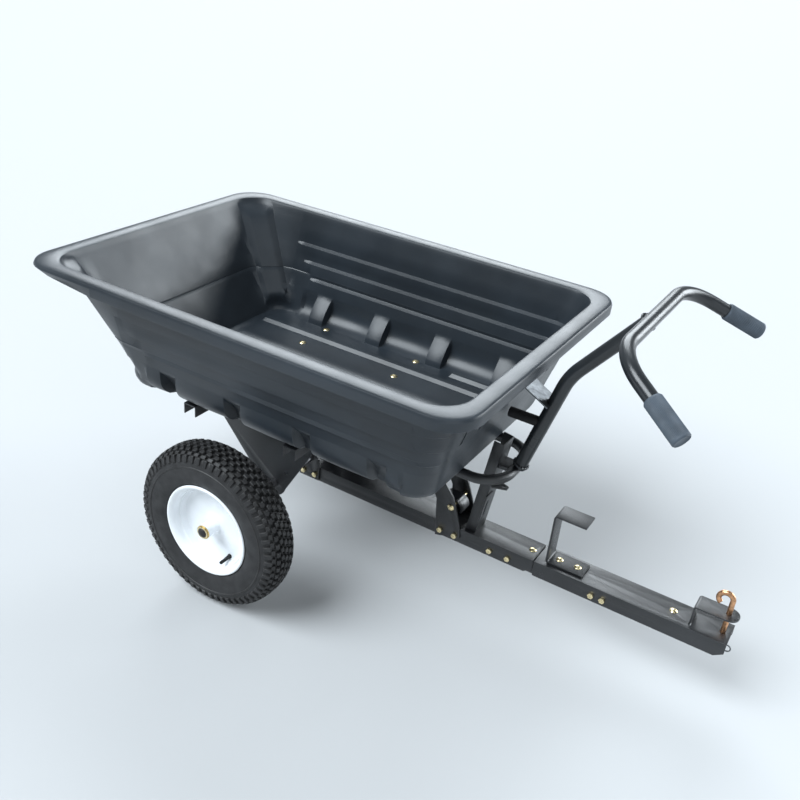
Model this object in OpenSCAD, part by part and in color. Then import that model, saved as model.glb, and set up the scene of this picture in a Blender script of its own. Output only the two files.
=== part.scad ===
// Tow-behind cart: a moulded tub that tips about its axle, on a channel drawbar with a push handle.
// X runs forward to the hitch, Y to the left, Z up from the floor. The tub is level, as when hitched.

/* [Tub] */
// Length over the rim
tub_len = 1170; // [900:10:1500]
// Width over the rim
tub_wid = 830; // [760:10:1000]
// Height of the rim above the floor
tub_top = 690; // [660:5:800]
// Depth of the tub from the rim to its underside
tub_depth = 290; // [240:5:330]
// Wall thickness of the moulding
tub_wall = 5; // [3:0.5:7]
// Width of the rolled rim
rim_width = 45; // [30:1:60]
// Depth of the rim's hanging lip
rim_lip = 28; // [18:1:40]
// Corner radius of the rim
rim_corner = 75; // [60:1:120]
// Corner radius of the tub's floor
floor_corner = 60; // [45:1:90]
// How far the tail wall leans out between floor and rim
tail_rake = 200; // [100:5:260]
// How far the front wall leans out between floor and rim
front_rake = 115; // [80:5:140]
// How far each side wall leans out between floor and rim
side_rake = 115; // [80:5:140]

/* [Wheels] */
// Outside radius of the tyre
tyre_r = 203; // [190:1:215]
// Width of the tyre
tyre_w = 96; // [80:1:110]
// Radius of the wheel's rim flange
flange_r = 115; // [105:1:125]
// Radius of the axle
axle_r = 10; // [8:0.5:12]
// How far inside the rim's edge each wheel's centre stands
wheel_in = 13; // [-20:1:20]
// Outside radius of the wheel's hub tube
hub_r = 17; // [15:0.5:20]
// Half length of the hub tube
hub_half = 44; // [38:1:50]

/* [Drawbar] */
// Width of the drawbar channel
bar_w = 76; // [60:1:90]
// Height of the drawbar channel
bar_h = 40; // [35:1:50]
// Height of the drawbar's top above the floor
bar_top = 180; // [175:1:190]
// Sheet thickness of the drawbar
bar_t = 3; // [2:0.5:4]
// How far the drawbar reaches ahead of the tub's rim
bar_ahead = 506; // [480:1:700]
// Where the two lengths of the drawbar meet, ahead of the tub's rim
joint_ahead = 55; // [45:1:75]
// Hitch pin radius
pin_r = 6; // [5:0.5:8]
// Hitch pin's distance behind the drawbar's end
pin_behind = 18; // [12:1:40]
// Gap between the drawbar and the hitch tongue, for the tractor's plate
hitch_gap = 47; // [30:1:60]

/* [Tub frame] */
// Radius of the frame rail tube
rail_r = 12; // [10:0.5:14]
// Distance from the centre to each frame rail
rail_y = 100; // [85:1:120]
// Distance from each frame rail to the inner tub bolts beside it
inner_bolt_out = 52; // [45:1:60]
// Distance from each outer tub bolt to the floor's edge
outer_bolt_in = 36; // [30:1:50]
// Distance from each frame rail to the axle plate beside it
plate_out = 90; // [80:1:100]
// Cross strap centre behind the axle
rear_strap_x = -180; // [-200:5:-150]
// Cross strap centre ahead of the axle
front_strap_x = 115; // [90:5:140]
// Width of a cross strap
strap_w = 36; // [30:1:50]
// Height of a cross strap
strap_h = 28; // [26:1:34]

/* [Handle] */
// Radius of the handle column tube
column_r = 16; // [13:0.5:18]
// Radius of the handlebar tube
handlebar_r = 15; // [12:0.5:18]
// Height of the handlebar above the floor
handlebar_z = 829; // [780:1:900]
// Distance of the handlebar ahead of the tub's rim
handlebar_ahead = 185; // [155:1:220]
// Width between the corners of the handlebar
handlebar_w = 424; // [400:4:440]
// Bend radius of the handlebar
handlebar_bend = 110; // [60:5:115]
// Width between the ends of the grips
grip_spread = 586; // [560:2:640]
// Radius of the rubber grips
grip_r = 19; // [17:0.5:22]

/* [Hidden] */

$fn = 48;
steel = [0.07, 0.07, 0.075];
plastic = [0.12, 0.13, 0.14];
zinc = [0.80, 0.70, 0.45];
run_gap = 0.05;                              // radial running clearance of a turning fit
side_gap = 0.3;                              // clearance between pieces that turn past each other
slack = 0.5;                                 // radial clearance of a loose pin or bolt

strap_x = [rear_strap_x, front_strap_x];
tail_x = -tub_len / 2;
nose_x = tub_len / 2;
floor_z = tub_top - tub_depth;
floor_tail = tail_x + tail_rake;
floor_nose = nose_x - front_rake;
floor_half = tub_wid / 2 - side_rake;
tub_bolt_y = [rail_y + inner_bolt_out, floor_half - outer_bolt_in];
plate_y = rail_y + plate_out;
wheel_y = tub_wid / 2 - wheel_in;
bar_reach = nose_x + bar_ahead;
bar_joint = nose_x + joint_ahead;
pin_x = bar_reach - pin_behind;
handlebar_x = nose_x + handlebar_ahead;
clevis_over = 24;                            // how far the hitch tongue's round end passes the pin
clip_wire = 1.5;
clip_ring = 8;
clip_reach = 10;                             // how far the clip's straight wire passes the pin's axis
nose_reach = max(bar_reach, pin_x + clevis_over, pin_x + clip_reach + 2 * clip_ring + clip_wire);
x_axle = -(tail_x + nose_reach) / 2;         // puts the origin under the middle of the cart
axle_z = tyre_r;

module placed() { translate([x_axle, 0, 0]) children(); }

// ---- bent tube in the XY plane: straight runs joined by elbows of one bend radius ----
function heading(p, q) = atan2(q[1] - p[1], q[0] - p[0]);
function wrap(a) = a > 180 ? a - 360 : a < -180 ? a + 360 : a;
function turn_at(pts, i) = wrap(heading(pts[i], pts[i + 1]) - heading(pts[i - 1], pts[i]));
function setback(pts, bend, i) =
    i == 0 || i == len(pts) - 1 ? 0 : bend * tan(abs(turn_at(pts, i)) / 2);
function unit(p, q) = (q - p) / norm(q - p);

module tube_wall(r, wall) { difference() { circle(r); circle(r - wall); } }

module bent_tube(pts, bend, r, wall) {
    for (i = [0 : len(pts) - 2]) {
        u = unit(pts[i], pts[i + 1]);
        start = pts[i] + setback(pts, bend, i) * u;
        stop = pts[i + 1] - setback(pts, bend, i + 1) * u;
        translate([start[0], start[1], 0]) rotate([0, 90, heading(start, stop)])
            linear_extrude(norm(stop - start)) tube_wall(r, wall);
    }
    for (i = [1 : len(pts) - 2]) {
        before = heading(pts[i - 1], pts[i]);
        turn = turn_at(pts, i);
        side = turn > 0 ? 90 : -90;
        start = pts[i] - setback(pts, bend, i) * unit(pts[i - 1], pts[i]);
        centre = start + bend * [cos(before + side), sin(before + side)];
        first = turn > 0 ? before - side : before - side + turn;
        translate([centre[0], centre[1], 0]) rotate([0, 0, first])
            rotate_extrude(angle = abs(turn), $fn = 96) translate([bend, 0]) tube_wall(r, wall);
    }
}

// ---- the same bent tube as one skin, for a tube whose plane is tilted ----
bend_steps = 10;
tube_sides = 24;
function bend_stations(pts, bend, i) =
    let (before = heading(pts[i - 1], pts[i]), turn = turn_at(pts, i), side = turn > 0 ? 90 : -90,
         start = pts[i] - setback(pts, bend, i) * unit(pts[i - 1], pts[i]),
         centre = start + bend * [cos(before + side), sin(before + side)])
    [for (k = [0 : bend_steps]) let (a = before - side + turn * k / bend_steps)
        [centre[0] + bend * cos(a), centre[1] + bend * sin(a), before + turn * k / bend_steps]];
function tube_ring(s, r) = [for (k = [0 : tube_sides - 1]) let (t = 360 * k / tube_sides)
    [s[0] - r * cos(t) * sin(s[2]), s[1] + r * cos(t) * cos(s[2]), r * sin(t)]];
module swept_tube(pts, bend, r, wall) {
    last = len(pts) - 1;
    stations = concat([[pts[0][0], pts[0][1], heading(pts[0], pts[1])]],
        [for (i = [1 : last - 1]) each bend_stations(pts, bend, i)],
        [[pts[last][0], pts[last][1], heading(pts[last - 1], pts[last])]]);
    n = tube_sides;
    m = len(stations);
    inner = m * n;
    polyhedron(
        points = concat([for (s = stations) each tube_ring(s, r)],
            [for (s = stations) each tube_ring(s, r - wall)]),
        faces = concat(
            [for (k = [0 : m - 2]) for (i = [0 : n - 1]) let (j = (i + 1) % n)
                [k * n + j, k * n + i, (k + 1) * n + i, (k + 1) * n + j]],
            [for (k = [0 : m - 2]) for (i = [0 : n - 1]) let (j = (i + 1) % n)
                [inner + k * n + i, inner + k * n + j, inner + (k + 1) * n + j, inner + (k + 1) * n + i]],
            [for (i = [0 : n - 1]) let (j = (i + 1) % n) [i, j, inner + j, inner + i]],
            [for (i = [0 : n - 1]) let (j = (i + 1) % n, e = (m - 1) * n)
                [e + j, e + i, inner + e + i, inner + e + j]]));
}

// ---- fasteners ----
bolt_r = 4;
head_r = 7.5;
head_h = 5.5;
module hex_head() { cylinder(r = head_r, h = head_h, $fn = 6); }
module dome_head(r, h) {
    big = (r * r + h * h) / (2 * h);
    intersection() {
        translate([0, 0, h - big]) sphere(big);
        cylinder(r = r, h = h);
    }
}

// ---- inverted U channel along X ----
module channel(x0, x1, half, z0, z1, t, cut0, cut1) {
    difference() {
        rotate([90, 0, 0]) linear_extrude(2 * half, center = true)
            polygon([[x0 + cut0, z0], [x1 - cut1, z0], [x1, z0 + cut1 * 0.7], [x1, z1], [x0, z1],
                     [x0, z0 + cut0 * 0.7]]);
        translate([x0 - 1, -half + t, z0 - 1]) cube([x1 - x0 + 2, 2 * (half - t), z1 - z0 - t + 1]);
    }
}

// ================= tub =================
arc_steps = 6;
function corner(cx, cy, r, from) = [for (i = [0 : arc_steps])
    [cx + r * cos(from + 90 * i / arc_steps), cy + r * sin(from + 90 * i / arc_steps)]];
function outline(x0, x1, half, r) = concat(corner(x1 - r, half - r, r, 0), corner(x0 + r, half - r, r, 90),
    corner(x0 + r, r - half, r, 180), corner(x1 - r, r - half, r, 270));
function ring(x0, x1, half, r, z) = [for (p = outline(x0, x1, half, r)) [p[0], p[1], z]];
// A ring on the floor's outline, drawn in by an amount
function floor_ring(inset, z) =
    ring(floor_tail + inset, floor_nose - inset, floor_half - inset, floor_corner - inset, z);
// A ring on the rim's outline, drawn in by an amount
function rim_ring(inset, z) = ring(tail_x + inset, nose_x - inset, tub_wid / 2 - inset,
    max(rim_corner - inset, floor_corner - 20), z);
rim_edge = 8;
floor_edge = 12;
tub_rings = [
    floor_ring(floor_edge, floor_z), floor_ring(floor_edge * 0.3, floor_z + floor_edge * 0.3),
    floor_ring(0, floor_z + floor_edge),
    rim_ring(rim_width - tub_wall, tub_top - tub_wall), rim_ring(tub_wall, tub_top - tub_wall),
    rim_ring(tub_wall, tub_top - rim_lip), rim_ring(0, tub_top - rim_lip), rim_ring(0, tub_top - rim_edge),
    rim_ring(rim_edge * 0.3, tub_top - rim_edge * 0.3), rim_ring(rim_edge, tub_top),
    rim_ring(rim_width - rim_edge, tub_top), rim_ring(rim_width - rim_edge * 0.3, tub_top - rim_edge * 0.3),
    rim_ring(rim_width, tub_top - rim_edge),
    floor_ring(tub_wall, floor_z + floor_edge + tub_wall),
    floor_ring(tub_wall + floor_edge * 0.3, floor_z + tub_wall + floor_edge * 0.3),
    floor_ring(tub_wall + floor_edge, floor_z + tub_wall)];
module tub() {
    color(plastic) placed() difference() {
        n = len(tub_rings[0]);
        last = len(tub_rings) - 1;
        polyhedron(
            points = [for (r = tub_rings) for (p = r) p],
            faces = concat([[for (i = [0 : n - 1]) i]],
                [for (k = [0 : last - 1]) for (i = [0 : n - 1]) let (j = (i + 1) % n)
                    [k * n + j, k * n + i, (k + 1) * n + i, (k + 1) * n + j]],
                [[for (i = [n - 1 : -1 : 0]) last * n + i]]));
        at_tub_bolts() translate([0, 0, -1]) cylinder(r = bolt_r + slack, h = tub_wall + 2);
        at_bracket_bolts() translate([0, 0, -30]) cylinder(r = bolt_r + slack, h = 60);
    }
}
module at_tub_bolts() {
    for (x = strap_x) for (y = tub_bolt_y) for (side = [-1, 1])
        translate([x, side * y, floor_z]) children();
}
// Carriage bolts through the tub's floor and the straps
strap_t = 2.5;
module tub_bolts() {
    color(zinc) placed() at_tub_bolts() {
        translate([0, 0, tub_wall]) dome_head(10, 4);
        translate([0, 0, -strap_t - 14]) cylinder(r = bolt_r, h = tub_wall + strap_t + 14);
    }
}
module tub_nuts() {
    color(zinc) placed() at_tub_bolts() translate([0, 0, -strap_t - 6.5]) difference() {
        cylinder(r = head_r, h = 6.5, $fn = 6);
        translate([0, 0, -1]) cylinder(r = bolt_r, h = 9);
    }
}

// ================= tub frame =================
rail_z = floor_z - strap_h + 8;
rail_nose = floor_nose + 75;
rail_tail = floor_tail + 55;
rail_bend = 70;
rail_path = [[rail_tail, -rail_y], [rail_nose, -rail_y], [rail_nose, rail_y], [rail_tail, rail_y]];
module frame_rail() {
    color(steel) placed() translate([0, 0, rail_z]) bent_tube(rail_path, rail_bend, rail_r, 2);
}
strap_half = floor_half - 8;
module strap(x) {
    color(steel) placed() difference() {
        translate([x - strap_w / 2, -strap_half, floor_z - strap_h]) cube([strap_w, 2 * strap_half, strap_h]);
        translate([x - strap_w / 2 + strap_t, -strap_half - 1, floor_z - strap_h - 1])
            cube([strap_w - 2 * strap_t, 2 * strap_half + 2, strap_h - strap_t + 1]);
        for (side = [-1, 1]) translate([x, side * rail_y, 0]) {
            translate([0, 0, rail_z]) rotate([0, 90, 0])
                cylinder(r = rail_r, h = strap_w + 2, center = true);
            translate([-strap_w, -rail_r, floor_z - strap_h - 1])
                cube([2 * strap_w, 2 * rail_r, rail_z - floor_z + strap_h + 1]);
        }
        at_tub_bolts() translate([0, 0, -strap_t - 1]) cylinder(r = bolt_r + slack, h = strap_t + 2);
    }
}
module front_strap() { strap(strap_x[1]); }
module rear_strap() { strap(strap_x[0]); }

// Triangular plate that hangs the tub on the axle
plate_t = 5;
boss_r = 34;
module axle_plate(side) {
    color(steel) placed() difference() {
        translate([0, side * plate_y, 0]) rotate([90, 0, 0]) linear_extrude(plate_t, center = true) {
            polygon([[strap_x[0] - strap_w / 2, floor_z - strap_h], [-boss_r * 0.7, axle_z - boss_r * 0.7],
                     [boss_r * 0.7, axle_z - boss_r * 0.7], [strap_x[1] + strap_w / 2, floor_z - strap_h]]);
            translate([0, axle_z]) circle(boss_r);
        }
        translate([0, side * plate_y, axle_z]) rotate([90, 0, 0])
            cylinder(r = axle_r + run_gap, h = plate_t + 2, center = true);
    }
}
module left_axle_plate() { axle_plate(1); }
module right_axle_plate() { axle_plate(-1); }

// Leg that carries the front of the tub on the drawbar
leg_foot = [floor_nose - 2, bar_top];
leg_head = [floor_nose + 34, floor_z + 42];
leg_w = 54;
leg_t = 3;
leg_depth = 26;
leg_sunk = 20;                               // how far it starts below the drawbar's top before it is cut level
leg_lean = atan2(leg_head[0] - leg_foot[0], leg_head[1] - leg_foot[1]);
leg_long = norm(leg_head - leg_foot);
module at_leg() { translate([leg_foot[0], 0, leg_foot[1]]) rotate([0, leg_lean, 0]) children(); }
module support_leg() {
    color(steel) placed() difference() {
        at_leg() difference() {
            translate([-leg_depth / 2, -leg_w / 2, -leg_sunk]) cube([leg_depth, leg_w, leg_long + leg_sunk]);
            translate([-leg_depth / 2 - 1, -leg_w / 2 + leg_t, -leg_sunk - 1])
                cube([leg_depth + 1 - leg_t, leg_w - 2 * leg_t, leg_long + leg_sunk + 2]);
        }
        translate([leg_foot[0] - 2 * leg_w, -leg_w, bar_top - leg_w])
            cube([4 * leg_w, 2 * leg_w, leg_w + side_gap]);
    }
}
tie_x = leg_foot[0] + (rail_z - leg_foot[1]) * tan(leg_lean) + leg_depth / 2 / cos(leg_lean);
tie_half = 22;
tie_t = 10;
module past_leg() {
    at_leg() translate([-leg_depth, -leg_w, -leg_sunk])
        cube([1.5 * leg_depth, 2 * leg_w, leg_long + 2 * leg_sunk]);
}
module leg_tie() {
    color(steel) placed() difference() {
        translate([tie_x - leg_t, -tie_half, rail_z - tie_t / 2])
            cube([rail_nose - tie_x + leg_t, 2 * tie_half, tie_t]);
        translate([rail_nose, 0, rail_z]) rotate([90, 0, 0])
            cylinder(r = rail_r, h = 3 * tie_half, center = true);
        past_leg();
    }
}
// Three-cornered lug for a padlock, welded to the leg
tab_z = rail_z - 66;
tab_x = leg_foot[0] + (tab_z - leg_foot[1]) * tan(leg_lean) + leg_depth / 2 / cos(leg_lean);
tab_t = 4;
tab_reach = 34;
tab_root = 20;                               // half width where it meets the leg
tab_point = 6;                               // half width at its blunt point
tab_hole_in = 10;
tab_hole_r = 3.5;
module lock_tab() {
    color(steel) placed() difference() {
        translate([tab_x, 0, tab_z]) linear_extrude(tab_t)
            polygon([[-leg_t, -tab_root], [tab_reach, -tab_point], [tab_reach, tab_point], [-leg_t, tab_root]]);
        translate([tab_x + tab_reach - tab_hole_in, 0, tab_z - 1]) cylinder(r = tab_hole_r, h = tab_t + 2);
        past_leg();
    }
}
// Slotted plate on the leg's right cheek, where the latch is set
slot_plate_t = 4;
slot_plate_w = 34;
slot_plate_out = 12;                         // how far it stands past the leg's cheek
slot_plate_z = [40, 122];                    // its two ends along the leg
slot_in = 14;                                // from the plate's free edge to the slot's middle
slot_z = [62, 100];
slot_r = 4;
module slot_plate() {
    color(steel) placed() at_leg() translate([leg_depth / 2, -leg_w / 2 - slot_plate_out, 0]) difference() {
        translate([0, 0, slot_plate_z[0]])
            cube([slot_plate_t, slot_plate_w, slot_plate_z[1] - slot_plate_z[0]]);
        for (z = slot_z) translate([-1, slot_in, z]) rotate([0, 90, 0])
            cylinder(r = slot_r, h = slot_plate_t + 2);
        translate([-1, slot_in - slot_r, slot_z[0]])
            cube([slot_plate_t + 2, 2 * slot_r, slot_z[1] - slot_z[0]]);
    }
}

// ================= handle =================
column_foot = [rail_nose + 6, rail_z];
column_knee = [nose_x + 40, tub_top - 45];
column_bend = 160;
module lower_column() {
    translate([column_foot[0], 0, column_foot[1]]) rotate([0, 90 - heading(column_foot, column_knee), 0])
        cylinder(r = column_r, h = norm(column_knee - column_foot));
}
module column_frame() { rotate([90, 0, 0]) children(); }
module handle_column() {
    color(steel) placed() difference() {
        column_frame() swept_tube([column_foot, column_knee, [handlebar_x, handlebar_z]], column_bend,
            column_r, 2.5);
        translate([rail_nose, 0, rail_z]) rotate([90, 0, 0])
            cylinder(r = rail_r, h = 4 * column_r, center = true);
        translate([rail_nose - 4 * column_r, -2 * column_r, rail_z - 4 * column_r])
            cube([8 * column_r, 4 * column_r, 4 * column_r]);
        translate([handlebar_x, 0, handlebar_z]) rotate([90, 0, 0])
            cylinder(r = handlebar_r, h = 4 * column_r, center = true);
    }
}
arm_drop = 27;                               // slope of the handlebar's arms below level
arm_reach = 178;                             // how far the arms reach ahead of the crosspiece
bar_path = [[arm_reach, grip_spread / 2], [0, handlebar_w / 2], [0, -handlebar_w / 2],
    [arm_reach, -grip_spread / 2]];
module at_handlebar() { translate([handlebar_x, 0, handlebar_z]) rotate([0, arm_drop, 0]) children(); }
module handlebar() {
    color(steel) placed() at_handlebar() swept_tube(bar_path, handlebar_bend, handlebar_r, 2);
}
grip_len = 92;
grip_end = 3;
module grip(side) {
    tip = [arm_reach, side * grip_spread / 2];
    arm = [0, side * handlebar_w / 2];
    color([0.16, 0.18, 0.2]) placed() at_handlebar() translate([tip[0], tip[1], 0])
        rotate([0, 90, heading(arm, tip)]) difference() {
            translate([0, 0, grip_end - grip_len]) cylinder(r = grip_r, h = grip_len);
            translate([0, 0, -grip_len]) cylinder(r = handlebar_r, h = grip_len);
        }
}
module left_grip() { grip(1); }
module right_grip() { grip(-1); }

// Bracket that ties the column to the tub's front wall
wall_lean = atan2(front_rake - rim_width, tub_depth);
bracket_z = tub_top - 70;
bracket_x = floor_nose + (bracket_z - floor_z) * (front_rake - rim_width + tub_wall) / tub_depth;
bracket_t = 3;
bracket_half = 42;
bracket_up = [-14, 20];                      // its lower and upper edges along the wall
bracket_bolt_y = 30;
bracket_bolt_up = 6;
strut_half = 28;
strut_long = 84;
strut_slope = 28;
nut_h = 6;
grip_t = 16;                                 // from the bracket's back to the nut's far face
column_lean = heading(column_foot, column_knee);
function column_x(z) = column_foot[0] + (z - column_foot[1]) / tan(column_lean);
module at_bracket() {
    translate([bracket_x + bracket_t / 2, 0, bracket_z]) rotate([0, wall_lean, 0]) children();
}
module at_bracket_bolts() {
    for (side = [-1, 1]) at_bracket() translate([0, side * bracket_bolt_y, bracket_bolt_up])
        rotate([0, 90, 0]) children();
}
module column_bracket() {
    color([0.55, 0.57, 0.6]) placed() difference() {
        union() {
            at_bracket() translate([0, -bracket_half, bracket_up[0]])
                cube([bracket_t, 2 * bracket_half, bracket_up[1] - bracket_up[0]]);
            translate([bracket_x - bracket_t, -strut_half, bracket_z + bracket_up[0] + 1])
                rotate([0, strut_slope, 0]) cube([strut_long, 2 * strut_half, bracket_t]);
        }
        at_bracket_bolts() translate([0, 0, -grip_t]) cylinder(r = bolt_r + slack, h = 2 * grip_t);
        at_bracket() translate([-bracket_half, -2 * bracket_half, -2 * bracket_half])
            cube([bracket_half, 4 * bracket_half, 4 * bracket_half]);
        lower_column();
    }
}
module bracket_bolts() {
    color(zinc) placed() at_bracket_bolts() {
        translate([0, 0, bracket_t]) hex_head();
        translate([0, 0, -grip_t]) cylinder(r = bolt_r, h = grip_t + bracket_t);
        translate([0, 0, -grip_t]) cylinder(r = head_r, h = nut_h, $fn = 6);
    }
}
// Rubber buffer between the column and the tub's front wall
spacer_z = 515;
spacer_r = 12;
spacer_x = floor_nose + (spacer_z - floor_z) * (front_rake - rim_width + tub_wall) / tub_depth;
module column_spacer() {
    color([0.05, 0.05, 0.05]) placed() difference() {
        translate([spacer_x + spacer_r / 2, 0, spacer_z]) rotate([0, 90, 0])
            cylinder(r = spacer_r, h = column_x(spacer_z) - spacer_x);
        lower_column();
        translate([column_x(spacer_z), -2 * spacer_r, spacer_z - 2 * spacer_r])
            cube([8 * spacer_r, 4 * spacer_r, 4 * spacer_r]);
    }
}

// ================= drawbar =================
bar_tail = -34;
joint_gap = 3;
end_cut = 20;
bar_half = bar_w / 2;
bar_z = bar_top - bar_h;
side_bolt_x = [bar_joint - 111, bar_joint - 63, bar_joint + 148, bar_joint + 175];
splice_x = [bar_joint - 140, bar_joint + 200];
step_bolt_x = [bar_joint + 50, bar_joint + 95];
top_bolt_x = bar_joint - 18;
tongue_bolt_x = pin_x - 109;
module side_holes() {
    for (x = side_bolt_x) translate([x, 0, bar_z + 16]) rotate([90, 0, 0])
        cylinder(r = bolt_r + slack, h = bar_w + 20, center = true);
}
module top_holes() {
    for (x = concat(step_bolt_x, [top_bolt_x, tongue_bolt_x])) translate([x, 0, bar_top - 20])
        cylinder(r = bolt_r + slack, h = 40);
}
module drawbar_rear() {
    color(steel) placed() difference() {
        channel(bar_tail, bar_joint, bar_half, bar_z, bar_top, bar_t, 0, end_cut);
        side_holes();
        top_holes();
        guide_holes();
        ear_holes();
    }
}
module drawbar_front() {
    color(steel) placed() difference() {
        channel(bar_joint + joint_gap, bar_reach, bar_half, bar_z, bar_top, bar_t, 0, end_cut);
        side_holes();
        top_holes();
        translate([pin_x, 0, bar_top - 20]) cylinder(r = pin_r + slack, h = 40);
        translate([tongue_rise - slack, -tongue_w / 2 - slack, bar_top - 20])
            cube([tongue_t + 2 * slack, tongue_w + 2 * slack, 40]);
    }
}
module splice_channel() {
    color(steel) placed() difference() {
        channel(splice_x[0], splice_x[1], bar_half - bar_t, bar_z + 2, bar_top - bar_t, bar_t, 0, 0);
        side_holes();
        top_holes();
    }
}
module splice_bolts() {
    color(zinc) placed() {
        for (x = side_bolt_x) translate([x, -bar_half, bar_z + 16]) rotate([90, 0, 0]) {
            hex_head();
            translate([0, 0, -bar_w - 8]) cylinder(r = bolt_r, h = bar_w + 8);
            translate([0, 0, -bar_w - 6]) hex_head();
        }
        translate([top_bolt_x, 0, bar_top]) {
            dome_head(9, 4.5);
            translate([0, 0, -16]) cylinder(r = bolt_r, h = 16);
            translate([0, 0, -2 * bar_t - 6]) cylinder(r = head_r, h = 6, $fn = 6);
        }
    }
}
// Ears that hold the axle above the drawbar's tail
ear_t = 4;
ear_bolt_x = 18;
module ear_holes() {
    for (x = [-ear_bolt_x, ear_bolt_x]) translate([x, 0, bar_z + 18]) rotate([90, 0, 0])
        cylinder(r = bolt_r + slack, h = bar_w + 30, center = true);
}
module axle_ears() {
    color(steel) placed() difference() {
        for (side = [-1, 1]) translate([0, side * (bar_half + ear_t / 2), 0]) rotate([90, 0, 0])
            linear_extrude(ear_t, center = true) {
                translate([-30, bar_z + 2]) square([60, axle_z - bar_z - 2]);
                translate([0, axle_z]) circle(24);
            }
        translate([0, 0, axle_z]) rotate([90, 0, 0]) cylinder(r = axle_r, h = bar_w + 30, center = true);
        ear_holes();
    }
}
module ear_bolts() {
    color(zinc) placed() for (x = [-ear_bolt_x, ear_bolt_x]) for (side = [-1, 1])
        translate([x, side * (bar_half + ear_t), bar_z + 18]) rotate([-90 * side, 0, 0]) {
            hex_head();
            translate([0, 0, -ear_t - bar_t - 8]) cylinder(r = bolt_r, h = ear_t + bar_t + 8);
            translate([0, 0, -ear_t - bar_t - 6]) cylinder(r = head_r, h = 6, $fn = 6);
        }
}

// ================= axle =================
bush_flange = 3;
hub_end = wheel_y + hub_half + bush_flange;
hub_start = wheel_y - hub_half - bush_flange;
washer_t = 2;
axle_end = hub_end + side_gap + washer_t;
module along_axle() { translate([0, 0, axle_z]) rotate([-90, 0, 0]) children(); }
module axle() {
    color(steel) placed() along_axle() cylinder(r = axle_r, h = 2 * axle_end, center = true);
}
module axle_collars() {
    color(steel) placed() along_axle() for (side = [-1, 1])
        translate([0, 0, side * (hub_start - side_gap - 5)]) difference() {
            cylinder(r = axle_r + 6, h = 10, center = true);
            cylinder(r = axle_r, h = 12, center = true);
        }
}
module axle_washers() {
    color(zinc) placed() along_axle() for (side = [-1, 1])
        translate([0, 0, side * (axle_end - washer_t / 2)]) difference() {
            cylinder(r = 15, h = washer_t, center = true);
            cylinder(r = axle_r, h = washer_t + 2, center = true);
        }
}
module axle_end_bolts() {
    color([0.05, 0.05, 0.05]) placed() along_axle() for (side = [0, 1]) rotate([180 * side, 0, 0])
        translate([0, 0, axle_end]) dome_head(axle_r + 2, 5);
}

// ================= latch =================
guide_t = 4;
guide_foot = leg_foot[0] - 53;
guide_bolt_x = [guide_foot - 20, guide_foot + 20];
guide_bolt_z = bar_z + 18;
guide_low = [[-32, -3], [34, 15]];           // the plate's corners, up from the drawbar's underside
guide_high = [[30, 10], [4, 80], [-22, 112], [-66, 112], [-40, 60]];   // and up from its top
latch_at = [guide_foot, bar_top + 52];
module guide_holes() {
    for (x = guide_bolt_x) translate([x, 0, guide_bolt_z]) rotate([90, 0, 0])
        cylinder(r = bolt_r + slack, h = bar_w + 4 * guide_t, center = true);
}
module guide_plates() {
    color(steel) placed() difference() {
        for (side = [-1, 1]) translate([0, side * (bar_half + guide_t / 2), 0]) rotate([90, 0, 0])
            linear_extrude(guide_t, center = true)
                polygon(concat([for (p = guide_low) [guide_foot + p[0], bar_z + p[1]]],
                               [for (p = guide_high) [guide_foot + p[0], bar_top + p[1]]]));
        guide_holes();
        translate([latch_at[0], 0, latch_at[1]]) rotate([90, 0, 0])
            cylinder(r = latch_pin_r, h = bar_w + 4 * guide_t, center = true);
    }
}
module guide_bolts() {
    color(zinc) placed() for (x = guide_bolt_x) for (side = [-1, 1])
        translate([x, side * (bar_half + guide_t), guide_bolt_z]) rotate([-90 * side, 0, 0]) {
            hex_head();
            translate([0, 0, -guide_t - bar_t - 8]) cylinder(r = bolt_r, h = guide_t + bar_t + 8);
            translate([0, 0, -guide_t - bar_t - 6]) cylinder(r = head_r, h = 6, $fn = 6);
        }
}
latch_pin_r = 5;
module latch_pin() {
    color(zinc) placed() translate([latch_at[0], 0, latch_at[1]]) rotate([90, 0, 0]) {
        cylinder(r = latch_pin_r, h = bar_w + 2 * guide_t + 6, center = true);
        for (side = [0, 1]) rotate([180 * side, 0, 0]) translate([0, 0, bar_half + guide_t])
            dome_head(9, 5);
    }
}
// Foot latch: a sleeve on the pin with a curved tongue that reaches forward to the leg
latch_w = 40;
sleeve_r = latch_pin_r + 4;
claw_in = 20;                                // inner radius of the curved tongue
claw_t = 4;
claw_back = 4;                               // its centre's distance behind the pin, and below the claw_in
claw_low = 6;                                // how far the curve runs on below its own centre
pedal_long = 34;
pedal_t = 4;
pedal_up = 5;
module latch_lever() {
    color(steel) placed() translate([latch_at[0], 0, latch_at[1]]) rotate([90, 0, 0]) difference() {
        union() {
            cylinder(r = sleeve_r, h = latch_w, center = true);
            linear_extrude(latch_w, center = true) translate([-claw_back, claw_back - claw_in]) difference() {
                circle(claw_in + claw_t);
                circle(claw_in);
                translate([-3 * claw_in, -3 * claw_in]) square([3 * claw_in, 6 * claw_in]);
                translate([-3 * claw_in, -3 * claw_in]) square([6 * claw_in, 3 * claw_in - claw_low]);
            }
            linear_extrude(latch_w, center = true) translate([-pedal_long, pedal_up])
                square([pedal_long, pedal_t]);
        }
        cylinder(r = latch_pin_r + run_gap, h = latch_w + 2, center = true);
    }
}

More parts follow.
